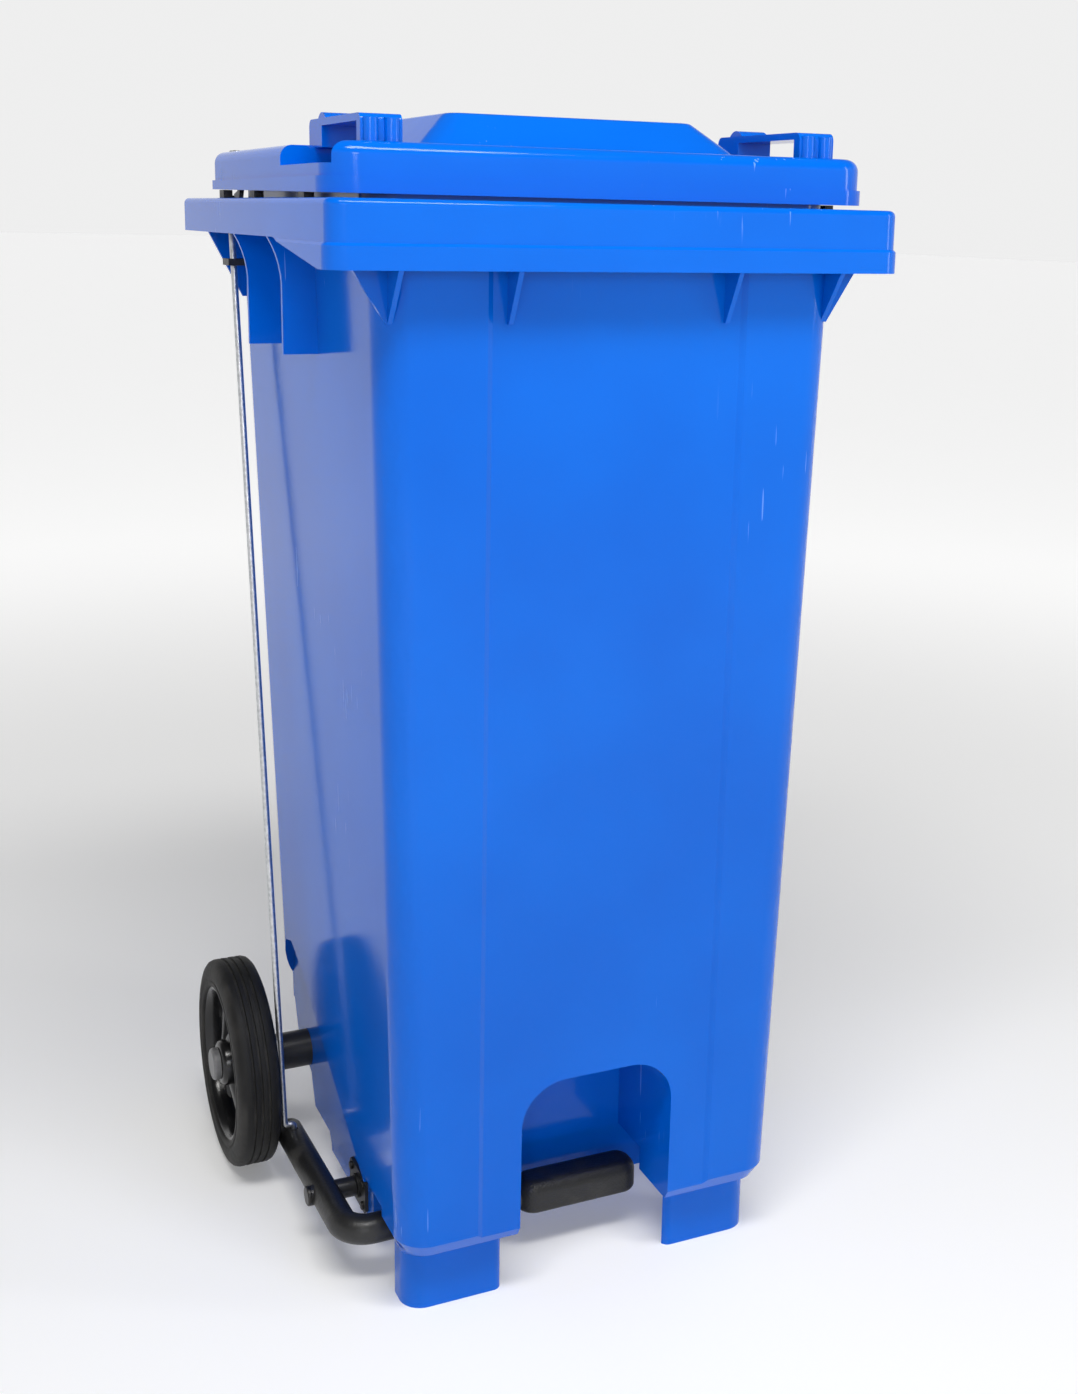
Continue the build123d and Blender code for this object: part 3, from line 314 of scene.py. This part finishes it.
MM = 0.001
half_tyre = [(0.0, 98.2), (1.0, 98.2), (1.5, 99.8), (5.3, 100), (5.9, 98.2), (8.1, 98.2),
             (8.6, 99.9), (12.6, 99.8), (16.0, 98.6), (18.3, 96.0), (19.8, 92.0), (20.5, 87.0),
             (20.4, 83.0), (19.5, 81.6), (19.5, 80.6), (20.3, 79.6), (20.2, 76.0), (19.2, 74.6),
             (18.0, 74.0)]
tyre_profile = ([(out * MM, radius * MM) for out, radius in half_tyre]
                + [(-out * MM, radius * MM) for out, radius in reversed(half_tyre[1:])])
for side, end in ((-1, "left"), (1, "right")):
    low, high = (Vector(corner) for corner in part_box("tyre_" + end))
    centre = (low + high) / 2
    rubber, place = finish("tyre_rubber_" + end, Specular_IOR_Level=0.22)
    from_axle = place.node("ShaderNodeVectorMath", {"operation": "SUBTRACT"},
                           {0: place, 1: centre})
    radius = place.node("ShaderNodeVectorMath", {"operation": "LENGTH"},
                        {0: from_axle.stretched(0, 1, 1)}, "Value")
    dust = place.noise(28.0, 3.0).between(0.4, 0.7) * (1.0 - radius.between(0.0985, 0.0998))
    grime = place.noise(190.0)
    colour = (dust * 0.55 + grime * 0.2).blend((0.006, 0.006, 0.006, 1), (0.04, 0.038, 0.035, 1))
    feed(rubber, Base_Color=colour, Roughness=0.5 + grime * 0.2,
         Normal=(grime + place.noise(900.0) * 0.4).relief(0.0002))
    piece = turned("tyre_ring_" + end, tyre_profile, centre, side, rubber, "tyre_" + end)
    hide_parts("tyre_" + end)

# --- hubs ------------------------------------------------------------------------
# Glossy black moulded hubs: a lipped rim, a round boss and five swept spokes that widen
# towards the rim and stand deeper in the wheel there.
hub_black, place = finish("hub_plastic", IOR=1.5)
grain = place.noise(240.0)
colour = place.noise(30.0).blend((0.003, 0.003, 0.0035, 1), (0.008, 0.008, 0.009, 1))
feed(hub_black, Base_Color=colour,
     Roughness=0.16 + grain * 0.14, Normal=grain.relief(0.0001))
rim_profile = [(out * MM, radius * MM) for out, radius in
               ((18, 74), (18, 71.5), (16.5, 70), (10, 68.2), (-10, 68.2), (-16.5, 70),
                (-18, 71.5), (-18, 74))]
boss_profile = [(out * MM, radius * MM) for out, radius in
                ((19.5, 14), (19.5, 18.5), (18.3, 20.6), (15, 22), (-15, 22), (-18.3, 20.6),
                 (-19.5, 18.5), (-19.5, 14))]
spokes_per_hub, stations = 5, 9
spoke_start, spoke_reach = 19.5, 49.5       # mm from the axle's centre line
spoke_root, spoke_flare = 8.5, 4.5          # half width at the boss, and what it gains
spoke_crest, spoke_dish = 13.5, 7.5         # how far out it stands, and what it loses
sweep = 0.34                                # radians that a spoke bows sideways
spoke_outline = ((-1, -0.004), (-0.72, -0.001), (0, 0), (0.72, -0.001), (1, -0.004),
                 (1, -0.012), (0, -0.013), (-1, -0.012))   # across, and down from the crest
for side, end in ((-1, "left"), (1, "right")):
    low, high = (Vector(corner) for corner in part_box("tyre_" + end))
    centre = (low + high) / 2
    node = "hub_" + end
    rim = turned("hub_rim_" + end, rim_profile, centre, side, hub_black, node)
    boss = turned("hub_boss_" + end, boss_profile, centre, side, hub_black, node)
    form = bmesh.new()
    for spoke in range(spokes_per_hub):
        rows = []
        for station in range(stations):
            share = station / (stations - 1)
            radius = (spoke_start + spoke_reach * share) * MM
            turn = (math.tau * (spoke / spokes_per_hub + 0.25)
                    + sweep * math.sin(math.pi * share))
            half = (spoke_root + spoke_flare * share * share) * MM
            crest = (spoke_crest - spoke_dish * math.sin(math.pi * share / 2)) * MM
            row = []
            for across, down in spoke_outline:
                offset = across * half
                row.append(form.verts.new(centre + Vector((
                    side * (crest + down),
                    radius * math.cos(turn) - offset * math.sin(turn),
                    radius * math.sin(turn) + offset * math.cos(turn)))))
            rows.append(row)
        for row, following in zip(rows, rows[1:]):
            for index in range(len(row)):
                after = (index + 1) % len(row)
                form.faces.new((row[index], row[after], following[after], following[index]))
        form.faces.new(rows[0])
        form.faces.new(list(reversed(rows[-1])))
    bmesh.ops.recalc_face_normals(form, faces=form.faces)
    spokes = settle("hub_spokes_" + end, form, hub_black, node)
    smooth = spokes.modifiers.new("smooth", "SUBSURF")
    smooth.levels = 2
    smooth.render_levels = 2
    for piece in (rim, boss, spokes):
        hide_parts(node)


# --- painted and plated steel ---------------------------------------------------------
# The pedal lever is black powder-coated tube, the lift rod and its clip are galvanised
# wire, the hinge pins and rivets are bright zinc plate, and the pivot bolt and the
# bracket's screws are black zinc.
def dress(material, *nodes):
    """Give CAD nodes a material, with smooth shading between their edges."""
    crease = math.radians(30)
    for node in nodes:
        for slot in frame["nodes"][node].material_slots:
            slot.material = material
        mesh = frame["nodes"][node].data
        mesh.shade_smooth()
        mesh.set_sharp_from_angle(angle=crease)


powder, place = finish("black_powder_coat")
grain = place.noise(350.0)
worn = place.noise(26.0, 4.0).between(0.6, 0.74)
feed(powder, Base_Color=(worn * 0.4).blend((0.01, 0.01, 0.01, 1), (0.05, 0.047, 0.043, 1)),
     Roughness=0.33 + grain * 0.15 + worn * 0.2, Normal=grain.relief(0.00022))
dress(powder, "pedal_lever", "axle", "pivot_bracket", "rod_lug")

galvanised, place = finish("galvanised_steel", Metallic=1.0)
spangle = place.node("ShaderNodeTexVoronoi", {}, {"Vector": place, "Scale": 260.0}, "Distance")
streak = place.stretched(500, 500, 12).noise(1.0)
feed(galvanised, Base_Color=spangle.blend((0.42, 0.43, 0.45, 1), (0.66, 0.67, 0.69, 1)),
     Roughness=0.28 + streak * 0.25, Normal=streak.relief(0.00005))
dress(galvanised, "lift_rod", "rod_clip")

zinc, place = finish("zinc_plate", Metallic=1.0)
tarnish = place.noise(300.0)
feed(zinc, Base_Color=tarnish.blend((0.5, 0.5, 0.48, 1), (0.72, 0.71, 0.66, 1)),
     Roughness=0.25 + tarnish * 0.2)
dress(zinc, "lug_rivets", "hinge_pin_left", "hinge_pin_right")

black_zinc, place = finish("black_zinc", Metallic=0.9)
tarnish = place.noise(300.0)
feed(black_zinc, Base_Color=tarnish.blend((0.02, 0.02, 0.022, 1), (0.07, 0.068, 0.065, 1)),
     Roughness=0.3 + tarnish * 0.2)
dress(black_zinc, "pivot_bolt", "bracket_screws")

# --- black rubber and plastics ---------------------------------------------------------
# Moulded rubber for the pedal pad and lid buffers, black caps and spacers, grey caps on
# the axle ends, and pale nylon bushes.
pad_rubber, place = finish("black_rubber", Specular_IOR_Level=0.4)
pebble = place.node("ShaderNodeTexVoronoi", {}, {"Vector": place, "Scale": 620.0}, "Distance")
dust = place.noise(45.0, 3.0).between(0.5, 0.75)
feed(pad_rubber, Base_Color=(dust * 0.5).blend((0.012, 0.012, 0.012, 1), (0.05, 0.048, 0.045, 1)),
     Roughness=0.42 + dust * 0.2, Normal=pebble.relief(0.0003))
dress(pad_rubber, "pedal_pad", "lid_buffers")

black, place = finish("black_plastic", IOR=1.48)
grain = place.noise(280.0)
feed(black, Base_Color=place.noise(40.0).blend((0.008, 0.008, 0.008, 1), (0.018, 0.018, 0.018, 1)),
     Roughness=0.34 + grain * 0.16, Normal=grain.relief(0.0001))
dress(black, "axle_spacer_left", "axle_spacer_right", "lever_end_plug", "hinge_cap_left",
      "hinge_cap_right", "rod_guide")

grey, place = finish("grey_plastic", IOR=1.48)
grain = place.noise(260.0)
feed(grey, Base_Color=grain.blend((0.11, 0.11, 0.115, 1), (0.17, 0.17, 0.175, 1)),
     Roughness=0.3 + grain * 0.15, Normal=grain.relief(0.0001))
dress(grey, "axle_cap_left", "axle_cap_right")

nylon, place = finish("nylon", Subsurface_Weight=0.1)
grain = place.noise(200.0)
feed(nylon, Base_Color=grain.blend((0.66, 0.63, 0.56, 1), (0.76, 0.74, 0.68, 1)),
     Roughness=0.35 + grain * 0.1)
dress(nylon, "pivot_bush", "hub_bush_left", "hub_bush_right", "axle_washer_left",
      "axle_washer_right")
